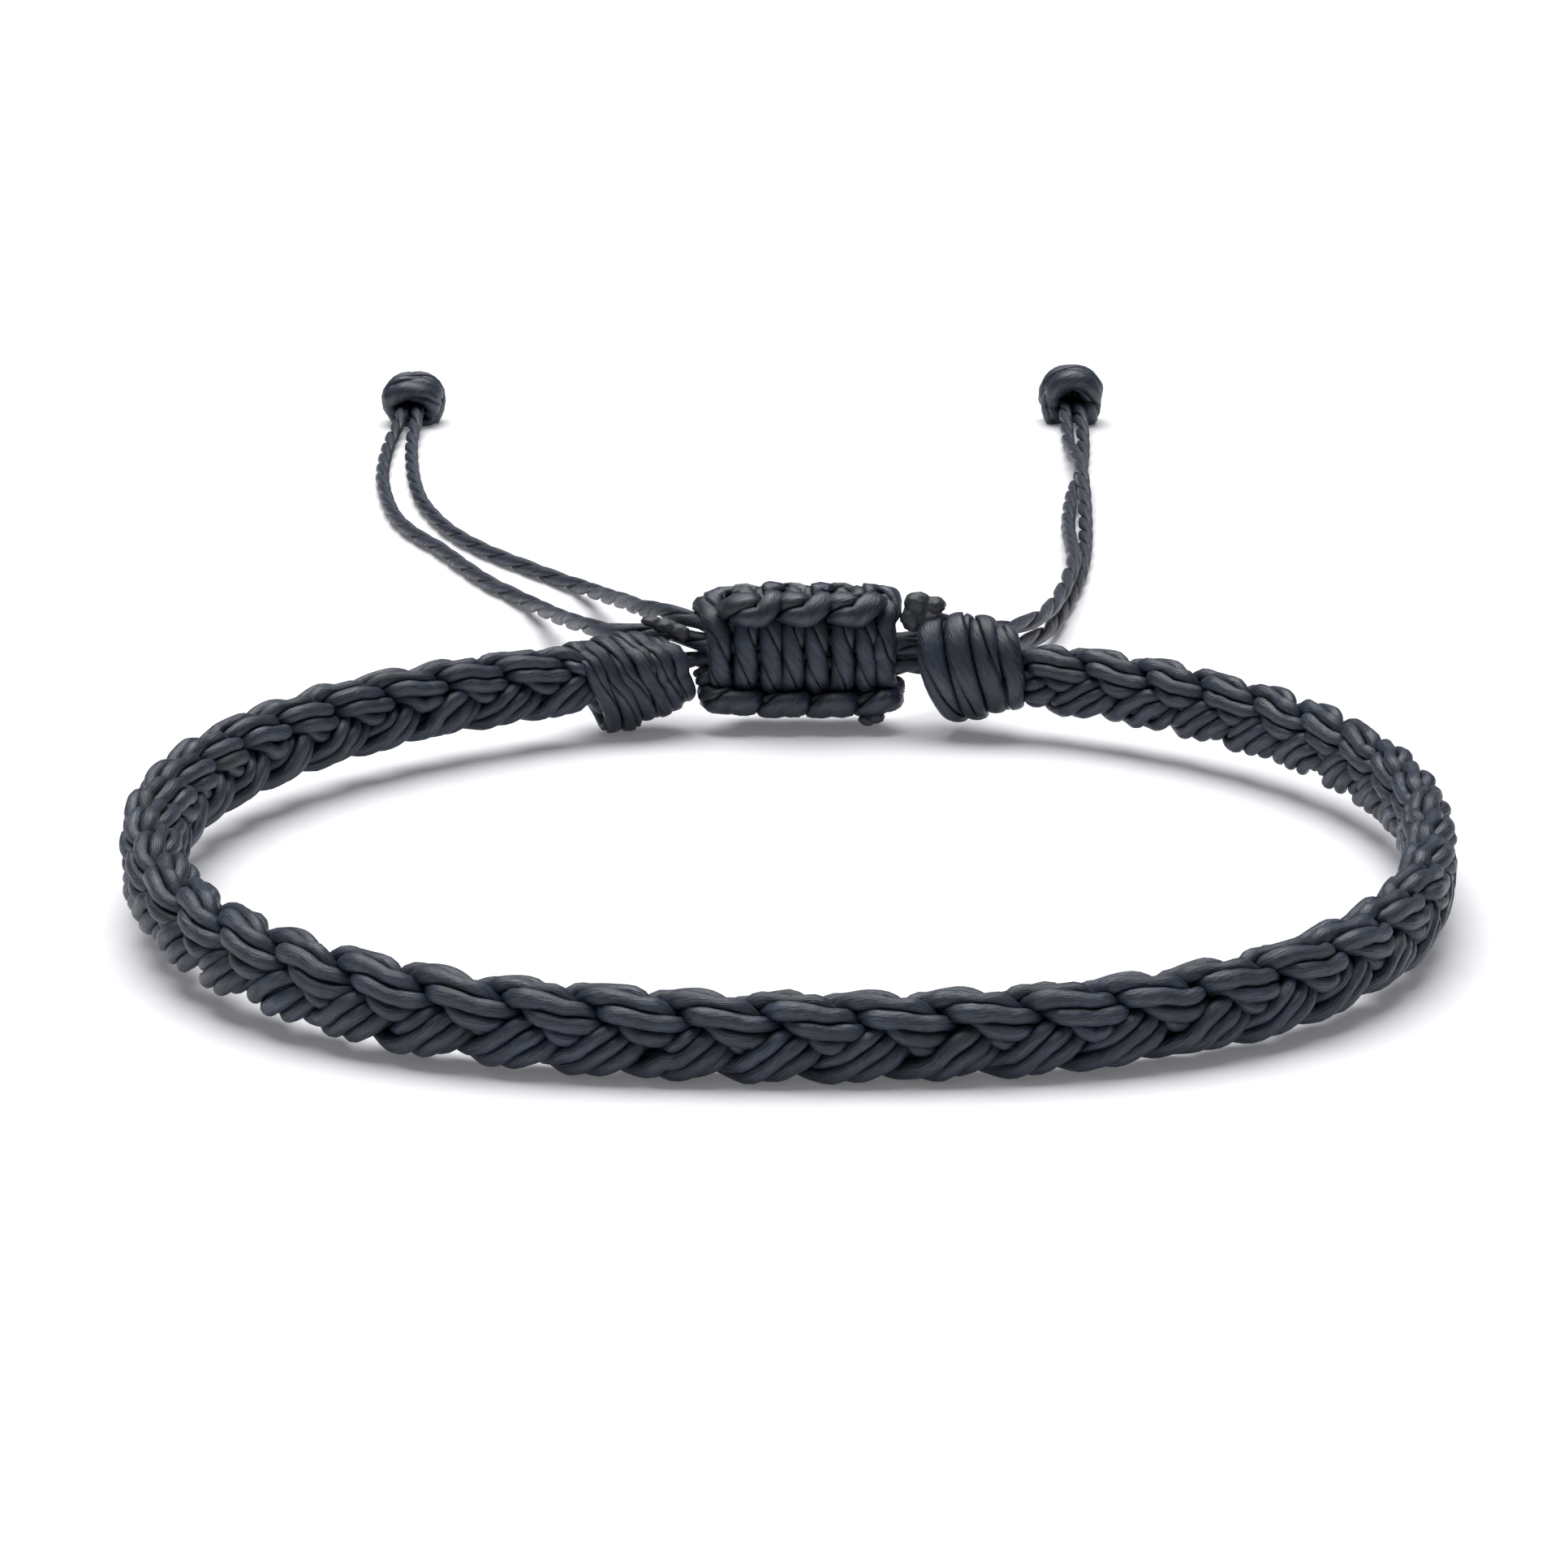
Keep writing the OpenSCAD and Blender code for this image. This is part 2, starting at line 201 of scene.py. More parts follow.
def add_cord(piece, line, r, wide=cord_d / 2, flat=1.0, cap=no_limit, fixed=False, closed=False, home=0.0,
             pull=0.2, lay=cord_lay, start=None, plies=2, knot=None):
    """Adds a cord. r is its half thickness when it is pressed, wide how far it may swell, flat how much less
    it swells away from its knot's axis, and cap how far one ply reaches from its own middle.
    home is how strongly it returns to its place and pull how strongly it pulls itself straight."""
    start = chance.uniform(0, tau) if start is None else start
    cords.append({"piece": piece, "line": np.array(line, float), "r": r, "wide": wide, "flat": flat,
                  "cap": cap, "fixed": fixed, "closed": closed, "home": home, "pull": pull, "lay": lay,
                  "start": start, "plies": plies, "knot": knot})
    return len(cords) - 1


print("a cord is %.1f mm thick, and its plies turn once in %.1f mm" % (cord_d, cord_lay))

# %% [markdown]
# ## The four tails
#
# Two cords leave each stopper knot, cross inside the sliding knot and lie on the table. A loose cord has no
# rule, so its route is followed point by point: out of the knot, down under its own weight, and along the
# table to the end knot. It is the solid model's route, but it runs on a little inside the knots, and it
# enters the end knots lower down.

# %% The tails' routes
routes = {
    "left_tail_upper_cord": [
        (8.6, 25, 4.6), (6.9, 25.35, 4.85), (5.45, 25.35, 4.85), (3.45, 25.4, 5.05), (0.45, 25.75, 5.35),
        (-2.35, 26.15, 5.6), (-4.35, 26.3, 5.85), (-5.35, 26.55, 6.05), (-6.4, 27.35, 6.15),
        (-7.5, 29.4, 5.9), (-8.65, 32.7, 5.15), (-9.65, 38.4, 4), (-10.75, 44.3, 2.7), (-11.95, 50, 1.55),
        (-13.25, 54.4, 0.8), (-14.55, 56.9, 0.55), (-16.15, 59.2, 0.53), (-17.85, 61.6, 0.53),
        (-19.65, 64.2, 0.53), (-21.45, 67.3, 0.53), (-23.15, 70.9, 0.53), (-24.65, 75.3, 0.53),
        (-25.95, 80.2, 0.53), (-27.05, 86.7, 0.53), (-27.85, 93.4, 0.55), (-28.35, 98.9, 0.65),
        (-28.5, 102.9, 0.9), (-28.6, 105.9, 1.25), (-28.7, 107.6, 1.4)],
    "left_tail_lower_cord": [
        (8.6, 25, 3.7), (6.9, 25.35, 3.75), (5.45, 25.35, 3.75), (3.45, 25.35, 3.95), (0.45, 25.4, 4.3),
        (-2.35, 25.6, 4.65), (-4.35, 25.85, 4.85), (-5.35, 26.15, 5), (-6.4, 26.85, 5.1),
        (-7.8, 27.5, 5.1), (-9.45, 27.95, 5), (-10.75, 29.2, 4.8), (-11.75, 31.9, 4.3),
        (-12.75, 35.8, 3.5), (-14.05, 41.8, 2.25), (-15.35, 47.3, 1.25), (-16.55, 51.1, 0.7),
        (-17.85, 53.9, 0.53), (-19.35, 56.5, 0.53), (-21.25, 60.7, 0.53), (-23.45, 65.9, 0.53),
        (-25.45, 69.9, 0.53), (-27.05, 74.3, 0.53), (-28.25, 79.7, 0.53), (-29.25, 86.1, 0.53),
        (-29.75, 92, 0.53), (-29.95, 97.9, 0.65), (-29.85, 102.5, 0.9), (-29.75, 105.9, 1.25),
        (-29.6, 107.6, 1.4)],
    "right_tail_upper_cord": [
        (-6.9, 25.7, 3.7), (-5.4, 26.2, 3.9), (-4.75, 26.35, 3.85), (-2.35, 26.65, 4.1),
        (0.45, 26.65, 4.5), (3.45, 26.55, 4.75), (5.25, 26.5, 4.75), (6.15, 26.65, 4.8),
        (6.85, 27.05, 4.8), (7.55, 27.75, 4.7), (8.35, 28.7, 4.55), (9.45, 30.1, 4.3), (11.05, 32.2, 3.9),
        (12.85, 35.1, 3.35), (14.45, 38.8, 2.75), (15.65, 43.1, 2.2), (16.55, 47.3, 1.8),
        (17.25, 50.9, 1.65), (17.85, 54.3, 1.63), (18.45, 58.9, 1.55), (18.7, 64.9, 1.2),
        (19.05, 71.9, 0.55), (19.65, 78.3, 0.53), (20.25, 82.9, 0.53), (20.95, 86.9, 0.53),
        (21.55, 91.9, 0.53), (22.05, 97.4, 0.6), (22.35, 102.4, 0.95), (22.4, 106.1, 1.4),
        (22.3, 107.8, 1.6)],
    "right_tail_lower_cord": [
        (-5.35, 25.6, 3), (-4.75, 25.75, 3), (-2.35, 26, 3.2), (0.45, 26.15, 3.35), (3.45, 26.4, 3.5),
        (5.25, 26.5, 3.6), (6.15, 26.65, 3.7), (6.85, 27, 3.65), (7.55, 27.7, 3.55), (8.35, 28.65, 3.4),
        (9.45, 30.05, 3.15), (11.05, 32.15, 2.75), (12.85, 35.05, 2.2), (14.45, 38.8, 1.6),
        (15.75, 43.1, 1.05), (16.65, 47.3, 0.7), (17.35, 50.9, 0.55), (18.05, 54.2, 0.53),
        (18.85, 58.7, 0.53), (19.65, 64.9, 0.53), (20.25, 71.9, 0.6), (20.65, 78.3, 1.1),
        (20.85, 82.9, 1.5), (20.95, 86.9, 1.63), (20.85, 91.9, 1.45), (20.95, 97.4, 0.75),
        (21.15, 102.4, 0.95), (21.3, 106.1, 1.4), (21.4, 107.8, 1.6)],
}
print(len(routes), "routes")

# %% [markdown]
# ## The tails as cords
#
# Each tail is a two-ply cord. Outside the knots nothing presses it, so its plies stay round and its edge
# has shallow scallops. Inside the sliding knot it is squeezed flat and fills the room there is. Where the
# tails hang free between the knot and the table their twist opens a little, so the lay is longer there.

# %% The tails
sliding_at = (0.45, 25.98, 4.4)
tail_step = 0.25
squeezed_within = 6.0
squeezed_by = 0.25
squeezed_swell = 0.35
ply_cap = 0.4
slack_at = 30
slack_over = 11
slack_more = 0.8

for name, route in routes.items():
    line = smooth_line(route, tail_step)
    in_knot = ease((squeezed_within - np.abs(line - sliding_at).max(1)) / 2)
    slack = np.exp(-((travelled(line) - slack_at) / slack_over) ** 2)
    add_cord(name, line, cord_d / 2 - squeezed_by * in_knot, wide=cord_d / 2 + squeezed_swell * in_knot,
             cap=ply_cap + in_knot, lay=cord_lay * (1 + slack_more * slack), fixed=True)
    print(name, "%.1f mm" % (tail_step * (len(line) - 1)))

# %% [markdown]
# ## The band's middle line
#
# The loop is an oval that is a little squared off and uneven, as a cord loop is that nobody presses into
# shape. It could be followed by hand too, but a circle with a few small waves on it stays smooth all the
# way round. The same numbers as in the solid model give it, so the plait lies where the solids are. A turn
# of 270 degrees is the front, and the band is lifted towards its ends, where the thicker knots hold it up.

# %% The loop's sizes
loop_w = 62.8
loop_d = 54
loop_pear = 0.022
loop_square = 0.014
loop_uneven = 0.009
loop_centre = np.array((0.35, -1.33))
lift_side = 1.3
lift_back = 1.6
band_h = 3.9
band_t = 2.6
loose_left = 0.13
loose_right = 0.02
loose_reach = 157
front = 270.0
plait_from = 113.0
plait_to = 426.0
inside_knot = 9.0
print("loop %.1f x %.1f mm, band %.1f x %.1f mm" % (loop_w, loop_d, band_h, band_t))

# %% The loop's middle line
def plan(t):
    """The loop seen from above at a turn of t degrees."""
    a = np.radians(t)
    scale = (1 - loop_pear * np.sin(3 * a) - loop_square * np.cos(4 * a)
             + loop_uneven * (np.sin(2 * a) - np.cos(3 * a) + np.sin(5 * a)))
    return np.stack([loop_w / 2 * np.cos(a) * scale + loop_centre[0],
                     loop_d / 2 * np.sin(a) * scale + loop_centre[1]], -1)


def looseness(t):
    """How much fuller the plait is than at the front. It is plaited more loosely on the left."""
    share = np.where(t < front, loose_left, loose_right)
    return 1 + share * np.sin(math.pi * np.clip(np.abs(t - front) / loose_reach, 0, 1) ** 1.4)


def lift(t):
    """How high the band's lower edge is above the table."""
    turn = np.abs(t - front)
    return lift_side * ease(turn / 90) + (lift_back - lift_side) * ease((turn - 90) / 60)


def middle(t):
    """The band's middle in space."""
    flat = plan(t)
    return np.stack([flat[:, 0], flat[:, 1], band_h / 2 * looseness(t) + lift(t)], -1)


turns = np.linspace(plait_from - inside_knot, plait_to + inside_knot, 1500)
lengths = travelled(plan(turns))
front_s = np.interp(front, turns, lengths)
print("band %.0f mm long" % lengths[-1])

# %% [markdown]
# ## The plait
#
# Three strands take turns to cross over each other. Seen from the front each one climbs and falls like a
# wave, and it swings behind and in front of the others twice as often, a third of a turn after its
# neighbour. A picture of a plait could be pressed into a flat band as bumps, but then its edges would be
# straight and no strand would pass under another. So the strands really cross.

# %% How the strands swing
plait_period = 11.25
plait_phase = math.radians(107)
plait_step = 0.26
swing_up = 0.9
swing_peak = 0.2
swing_out = 0.66
cross_early = -0.15
thinner_by = 0.15
thinner_at = 366
thinner_over = 34

s = np.arange(0, lengths[-1], plait_step)
t = np.interp(s, lengths, turns)
centre = middle(t)
ahead = unit(np.gradient(centre, axis=0))
outward = unit(np.cross(ahead, (0, 0, 1.0)))
up = np.array((0, 0, 1.0))
past_end = np.maximum(np.interp(plait_from, t, s) - s, s - np.interp(plait_to, t, s))
gathered = 1 - 0.5 * ease((past_end + 1.2) / 3.0)
loose = (looseness(t) * gathered)[:, None]
thin = (1 - thinner_by * np.exp(-((t - thinner_at) / thinner_over) ** 2))[:, None]


def strand_middle(strand):
    """The middle line of one of the three strands."""
    phase = tau * (s - front_s) / plait_period + tau / 3 * strand + plait_phase
    climb = swing_up * (np.sin(phase) - swing_peak * np.sin(3 * phase))
    return centre + loose * (up * climb[:, None]
                             - outward * thin * (swing_out * np.sin(2 * phase + cross_early))[:, None])


print("%.0f crossings of a strand" % (2 * lengths[-1] / plait_period))

# %% [markdown]
# ## The plait's yarns
#
# Each strand is a bundle of five yarns with a slow twist, flattened like a ribbon, so on the upper row they
# lie almost level and on the lower row they stand steep. A yarn is fullest in the middle of the strand's
# face and thinner where it turns round the strand's edge. That makes the part of it that shows a pointed
# leaf.

# %% The plait's yarns
strand_yarns = 5
strand_lay = 11.0
strand_half_wide = 0.55
strand_half_thick = 0.27
yarn_r = 0.35
yarn_least = 0.32
yarn_fuller = 0.17

plait_cords = []
for strand in range(3):
    strand_line = strand_middle(strand)
    along = travel(strand_line)
    thick = unit(outward - along * np.sum(outward * along, 1, keepdims=True))
    wide = np.cross(along, thick)
    twist_start = chance.uniform(0, tau)
    for k in range(strand_yarns):
        turn = twist_start + tau * k / strand_yarns + tau * s / strand_lay
        line = strand_line + loose * (wide * (strand_half_wide * np.cos(turn))[:, None]
                                      + thick * thin * (strand_half_thick * np.sin(turn))[:, None])
        full = yarn_least + yarn_fuller * np.abs(np.sin(turn))
        plait_cords.append(add_cord("plait_strand_%d" % (strand + 1), line, yarn_r,
                                    wide=full * chance.uniform(0.95, 1.05), pull=0.25, plies=1))
print(len(plait_cords), "yarns of", len(s), "points")

# %% [markdown]
# ## Wraps round a knot
#
# A stopper knot gathers the strands in tight slanting wraps. One cord could be led round it as on the real
# one, but only the outside shows, and its slants are hard to steer. So each wrap is a closed ring round an
# egg-shaped body, and it is told by where it crosses the body's top, front and bottom. The body may have
# one lump on it.

# %% Rings round an egg
wrap_step = 0.28
belly_early = 0.8
egg_blunt = 0.7
lump_long = 0.8
lump_round = 0.45
lump_base = 2.4


def egg(x, half_length, ends, half):
    """Half thickness and half height of a knot's body at x, between its left and right end sizes."""
    u = np.clip(x / half_length / 2 + 0.5, 0, 1)[:, None]
    end = np.array(ends[0]) * (1 - u) + np.array(ends[1]) * u
    return end + (np.array(half) - end) * np.sin(math.pi * u ** belly_early) ** egg_blunt


def place(line, at, turn):
    """A line turned about the vertical and moved to its place."""
    a = math.radians(turn)
    x, y, z = line.T
    return np.stack([x * math.cos(a) - y * math.sin(a), x * math.sin(a) + y * math.cos(a), z], 1) + at


def ring_line(knot, top, front_x, bottom, sink):
    """One ring round a knot's body, sunk below its surface. Angle 0 is the back, a quarter turn the top."""
    a = np.linspace(0, tau, 240, endpoint=False)
    mid, lean, bow = (top + bottom) / 2, (top - bottom) / 2, (top + bottom) / 2 - front_x
    x = mid + lean * np.sin(a) + bow * np.cos(a)
    size = egg(x, knot["half_length"], knot["ends"], knot["half"]) - sink
    lump_x, lump_angle, lump_size = knot["lump"]
    lump = lump_size * np.exp(-((x - lump_x) / lump_long) ** 2
                              - ((a - math.radians(lump_angle)) / lump_round) ** 2)
    grown = (1 + lump / lump_base)[:, None] ** (0, 1, 1)
    line = np.stack([x, size[:, 0] * np.cos(a), size[:, 1] * np.sin(a)], 1) * grown
    return even_steps(np.vstack([line, line[:1]]), wrap_step)[:-1]


print("a ring is drawn in steps of", wrap_step, "mm")

# %% [markdown]
# ## The stopper knots
#
# The left one has six thin wraps that lean to the left, and a cord bulges out below it. The right
# one has four thick wraps. A few straight cords inside stand for what the wraps are pulled tight on, so
# that they can't sink in when all is pressed together.

# %% The stopper knots' sizes
# A ring's columns: x where it crosses the top, the front and the bottom, how deep it is sunk, and the angle
# of its first ply.
stoppers = {
    "left_stopper_knot": {
        "at": (-8.7, 25, 3.2), "turn": 16, "half_length": 3.1, "half": (2.2, 2.5),
        "ends": ((1.7, 2.0), (1.2, 1.3)), "lump": (-1.1, 270, 0.85), "wide": 0.6, "r": 0.4,
        "rings": [(-3.7, -2.3, -1.5, 0.25, 60), (-2.9, -1.3, -0.5, 0.2, 120), (-1.9, -0.35, 0.45, 0.25, 80),
                  (-0.9, 0.6, 1.35, 0.2, 40), (0.1, 1.5, 2.0, 0.25, 110), (1.2, 2.3, 2.5, 0.3, 20)]},
    "right_stopper_knot": {
        "at": (10, 24.6, 4), "turn": -15, "half_length": 2.9, "half": (2.4, 2.85),
        "ends": ((1.7, 1.9), (1.4, 1.6)), "lump": (-0.7, 262, 0.3), "wide": 0.85, "r": 0.5,
        "rings": [(-1.9, -1.5, -0.5, 0.35, 90), (-0.6, 0.1, 0.5, 0.4, 0), (0.7, 1.55, 1.6, 0.35, 100),
                  (1.9, 2.7, 2.5, 0.4, 60)]},
}
core_cords = 5
core_half_thick = 0.75
core_half_high = 0.9
inner_r = 0.45
bulge_route = [(-11.3, 24.6, 3.0), (-10.8, 23.9, 2.2), (-10.2, 23.6, 1.4), (-9.4, 23.9, 1.1),
               (-8.6, 24.6, 1.5)]
print(len(stoppers), "stopper knots")

# %% The stopper knots' cords
for name, knot in stoppers.items():
    for top, front_x, bottom, sink, start in knot["rings"]:
        line = place(ring_line(knot, top, front_x, bottom, sink), knot["at"], knot["turn"])
        add_cord(name, line, knot["r"], wide=knot["wide"], flat=0.62, closed=True, home=0.1, pull=0.08,
                 lay=wrap_step * len(line), start=math.radians(start), knot=knot)
    for k in range(core_cords):
        a = tau * k / core_cords
        through = np.linspace(-0.4, 0.6, 30) * knot["half_length"]
        line = np.stack([through, 0 * through + core_half_thick * math.cos(a),
                         0 * through + core_half_high * math.sin(a)], 1)
        add_cord(name, place(even_steps(line, wrap_step), knot["at"], knot["turn"]), inner_r)
    print(name, len(knot["rings"]), "wraps")
add_cord("left_stopper_knot", smooth_line(bulge_route, wrap_step), inner_r, wide=0.6)

# %% [markdown]
# ## The sliding knot
#
# It is a row of four square knots round the tails. One working cord always crosses their front and the
# other their back, up and down in turn, and at each turn a cord hooks over the other's bars. So the front
# shows eight upright bars, with four bumps along the top and four along the bottom, half a knot apart. Bars
# and bumps could be modelled one by one, but a cord that really runs this way gives them all, and no two
# quite alike.

# %% The sliding knot's sizes
square_knots = 4
bar_pitch = 1.37
bar_half_thick = 1.35
bar_half_high = 2.35
bar_uneven = 0.12
hook_angle = math.radians(122)
hook_out = 0.42
hook_quick = 0.4
hook_over = 3.0
row_ends = (-4.9, 4.4)
row_half_long = 4.8
row_taper = 0.15
box_round = 0.8
row_at = np.array(sliding_at) + (0.4, 0, 0.07)
print("row of", 2 * square_knots, "bars, %.1f mm long" % (2 * square_knots * bar_pitch))

# %% The sliding knot's working cords
def working_cord(middle_angle, tucked):
    """One working cord and how near each of its points is to a hook, from 0 to 1. Its angle round the tails
    swings about middle_angle: 0 is the front, a quarter turn the top. At a hook it runs sideways over two
    bars, so the bars beside it lean together. The first and last hook are tucked away."""
    bars = 2 * square_knots
    bar = np.linspace(tucked, bars - tucked, 2400)
    swing = np.cos(math.pi * bar)
    angle = middle_angle - hook_angle * np.sign(swing) * np.abs(swing) ** hook_quick
    uneven = np.interp(bar, np.arange(bars + 1), chance.normal(0, bar_uneven, bars + 1))
    x = np.clip(bar_pitch * (bar - bars / 2 + hook_over * np.sin(tau * bar) / tau) + uneven, *row_ends)
    out = hook_out * ease((np.abs(swing) - 0.4) / 0.5)
    tapered = 1 - row_taper * np.abs(x / row_half_long) ** 5
    y = -tapered * (bar_half_thick + out) * np.sign(np.cos(angle)) * np.abs(np.cos(angle)) ** box_round
    z = tapered * (bar_half_high + out) * np.sign(np.sin(angle)) * np.abs(np.sin(angle)) ** box_round
    line = even_steps(np.stack([x, y, z, np.abs(swing)], 1), wrap_step)
    return line[:, :3] + row_at, line[:, 3]


for middle_angle, tucked in ((0.0, 0.25), (math.pi, 0.36)):
    line, hooked = working_cord(middle_angle, tucked)
    add_cord("sliding_knot", line, 0.5, wide=0.7 + 0.45 * ease((hooked - 0.5) / 0.3), flat=0.75, home=0.12,
             pull=0.07, lay=5.2, knot={"at": sliding_at, "turn": 0})
    print("working cord of %.0f mm" % travelled(line)[-1])

# %% [markdown]
# Two thick straight cords, one above and one below the tails, fill the room inside the hooks. The real knot
# has the tails and its own cords there, pressed flat, and without them the hooks would look hollow.

# %% What fills the sliding knot
filler_high = 1.8
filler_half_long = 4.6
for high in (-filler_high, filler_high):
    inner = np.array([(x, 0, high) for x in (-filler_half_long, 0, filler_half_long)]) + row_at
    add_cord("sliding_knot", even_steps(inner, wrap_step), 0.4, wide=0.95, home=0.4)
print(len(cords), "cords so far")

# %% [markdown]
# ## The end knots
#
# Each pair of tails ends in an overhand knot pulled small, with the tails coming out of its middle. Its
# wraps lie round the tails' direction, and seen from the front the nearest one is an arch over the tails.
# The rings of the stopper knots do here too, with three thick ones that lean against each other. The two
# cut cord ends fill the hole that shows from behind.

# %% The end knots' cords
end_knots = {
    "left_end_knot": {"at": (-29.15, 108.3, 1.85), "turn": 90, "half_length": 2.2, "half": (2.2, 1.75),
                      "ends": ((1.9, 1.5), (1.5, 1.2)), "lump": (0, 90, 0)},
    "right_end_knot": {"at": (21.95, 108.5, 2.3), "turn": 90, "half_length": 2.2, "half": (2.2, 2.2),
                       "ends": ((1.8, 1.7), (1.5, 1.5)), "lump": (0, 90, 0)},
}
# An end wrap's columns: x where it crosses the top, the front and the bottom, and its first ply's angle.
end_wraps = ((-1.3, -0.5, 0.4, 90), (-0.1, 0.6, 1.3, 0), (1.2, 0.6, 0.2, 60))
end_sink = 0.75
end_r = 0.6
end_wide = 1.0

for name, knot in end_knots.items():
    for top, front_x, bottom, start in end_wraps:
        line = place(ring_line(knot, top, front_x, bottom, end_sink), knot["at"], knot["turn"])
        add_cord(name, line, end_r, wide=end_wide, flat=0.85, closed=True, home=0.12, pull=0.06,
                 lay=wrap_step * len(line), start=math.radians(start), knot=knot)
    for across in (-0.5, 0.5):
        line = np.stack([np.linspace(-0.3, 2.4, 20), np.full(20, across), np.zeros(20)], 1)
        add_cord(name, place(even_steps(line, wrap_step), knot["at"], knot["turn"]), end_r, wide=end_wide)
    print(name, len(end_wraps), "wraps")

# %% [markdown]
# ## Pressing the cords together
#
# A plait and a knot are pulled tight, and their cords end up side by side with no room between. The points
# of all cords are moved in small rounds: two that are too close push each other apart, each cord pulls
# itself straight, and the band's cords are held within the band's height and thickness. A cloth or rope
# simulation could do it too, but these rounds take seconds and come out the same each time.

# %% Which points are neighbours
def gather(lines, closed):
    """All lines' points in one array, with the line and the neighbours of each point."""
    points, owner, before, after = [], [], [], []
    count = 0
    for number, line in enumerate(lines):
        index = np.arange(len(line)) + count
        points.append(line)
        owner.append(np.full(len(line), number))
        if closed[number]:
            before.append(np.roll(index, 1))
            after.append(np.roll(index, -1))
        else:
            before.append(np.concatenate([index[:1], index[:-1]]))
            after.append(np.concatenate([index[1:], index[-1:]]))
        count += len(line)
    return [np.concatenate(a) for a in (points, owner, before, after)]


def close_pairs(points, owner, reach, same_line_gap=9):
    """Every pair of points within reach that aren't near each other on one line."""
    tree = KDTree(len(points))
    for i, p in enumerate(points):
        tree.insert(p, i)
    tree.balance()
    first, second = [], []
    for i, p in enumerate(points):
        for _, j, _ in tree.find_range(p, reach):
            if owner[j] != owner[i] or abs(i - j) > same_line_gap:
                first.append(i)
                second.append(j)
    return np.array(first), np.array(second)


def each_point(key):
    """A value of every cord, spread over the cord's points."""
    return np.concatenate([np.broadcast_to(c[key], len(c["line"])) for c in cords])


points, owner, before, after = gather([c["line"] for c in cords], [c["closed"] for c in cords])
radius = each_point("r")
fixed = each_point("fixed")
pull = each_point("pull")[:, None]
home = each_point("home")[:, None]
first_points = points.copy()
print(len(points), "points on", len(cords), "cords")

# %% Holding the band's cords in the band
plait = np.isin(owner, plait_cords)
step_of = np.concatenate([np.arange(len(c["line"])) for c in cords])[plait]
yarn_inside = 0.37
drift_kept = 0.9


def hold_band(points):
    """Keeps the band's cords within a rounded box of its height and thickness."""
    mid, facing, size = centre[step_of], outward[step_of], loose[step_of, 0]
    rel = points[plait] - mid
    high, out = rel[:, 2], np.sum(rel * facing, 1)
    rest = rel - up * high[:, None] - facing * out[:, None]
    edge_h = band_h / 2 * size - yarn_inside
    edge_t = band_t / 2 * size * thin[step_of, 0] - yarn_inside
    outside = np.maximum(((high / edge_h) ** 4 + (out / edge_t) ** 4) ** 0.25, 1)
    high, out = high / outside, out / outside
    points[plait] = mid + rest * drift_kept + up * high[:, None] + facing * out[:, None]


print(plait.sum(), "of the points are the band's")

# %% Settling the cords
rounds = 60
look_again = 12
push_share = 1.6
for number in range(rounds):
    if number % look_again == 0:
        i, j = close_pairs(points, owner, 2.1 * radius.max())
        apart = radius[i] + radius[j]
    gap = points[i] - points[j]
    d = np.linalg.norm(gap, axis=1)
    crowd = np.maximum(apart - d, 0)
    push = gap / np.maximum(d, 1e-6)[:, None] * (crowd * 0.5)[:, None]
    hits = np.maximum(np.bincount(i, crowd > 0, len(points)), 1)[:, None]
    move = np.stack([np.bincount(i, push[:, k], len(points)) for k in range(3)], 1) / hits * push_share
    move += pull * ((points[before] + points[after]) / 2 - points) + home * (first_points - points)
    move[fixed] = 0
    points = points + move
    hold_band(points)
print("the points moved %.2f mm on average" % np.linalg.norm(points - first_points, axis=1).mean())

# %% [markdown]
# ## Plies
#
# Each cord is now wound from its two plies, and each yarn of the plait is one ply by itself. A ply could be
# a plain round tube, but it is a soft bundle of fine fibres and takes the room it finds. So it gets rings
# with a reach of their own in fourteen directions. The next cells work the reach out from what limits it.

# %% The plies' middle lines
ring_sides = 14
ply_offset = 0.25

plies = []
for number, cord in enumerate(cords):
    cord["settled"] = points[owner == number]
    offset = ply_offset if cord["plies"] > 1 else 0.0
    for ply in wind(cord["settled"], cord["plies"], offset, cord["lay"], cord["start"], cord["closed"]):
        plies.append({"cord": cord, "line": ply})

cord_points = np.concatenate([y["cord"]["settled"] for y in plies])
points, owner, before, after = gather([y["line"] for y in plies], [y["cord"]["closed"] for y in plies])
along = unit(points[after] - points[before])
off = points - cord_points
side = unit(off - along * np.sum(off * along, 1, keepdims=True))
for number, y in enumerate(plies):
    if y["cord"]["plies"] == 1:
        mine = np.flatnonzero(owner == number)
        side[mine] = carried_sides(along[mine])[0]
rise = np.cross(along, side)
angles = tau * np.arange(ring_sides) / ring_sides
toward = (side[:, None] * np.cos(angles)[None, :, None] + rise[:, None] * np.sin(angles)[None, :, None])
print(len(plies), "plies with", len(points), "rings")

# %% [markdown]
# The first limit is the other plies. Where two meet they flatten until they share a face half way between
# them, as soap bubbles do.

# %% Where plies meet
neighbour_within = 1.5
softened = 2
i, j = close_pairs(points, owner, neighbour_within)
v = points[j] - points[i]
half = np.sum(v * v, 1) / 2
starts = np.flatnonzero(np.diff(i, prepend=-1))
reach = np.full((len(points), ring_sides), no_limit)
for m in range(ring_sides):
    facing = np.sum(toward[i, m] * v, 1)
    meet = np.where(facing > 1e-4, half / np.maximum(facing, 1e-4), no_limit)
    reach[i[starts], m] = np.minimum.reduceat(meet, starts)
for _ in range(softened):
    reach = (reach[before] + 2 * reach + reach[after]) / 4
print("%.0f%% of the directions meet another ply" % (100 * (reach < neighbour_within).mean()))

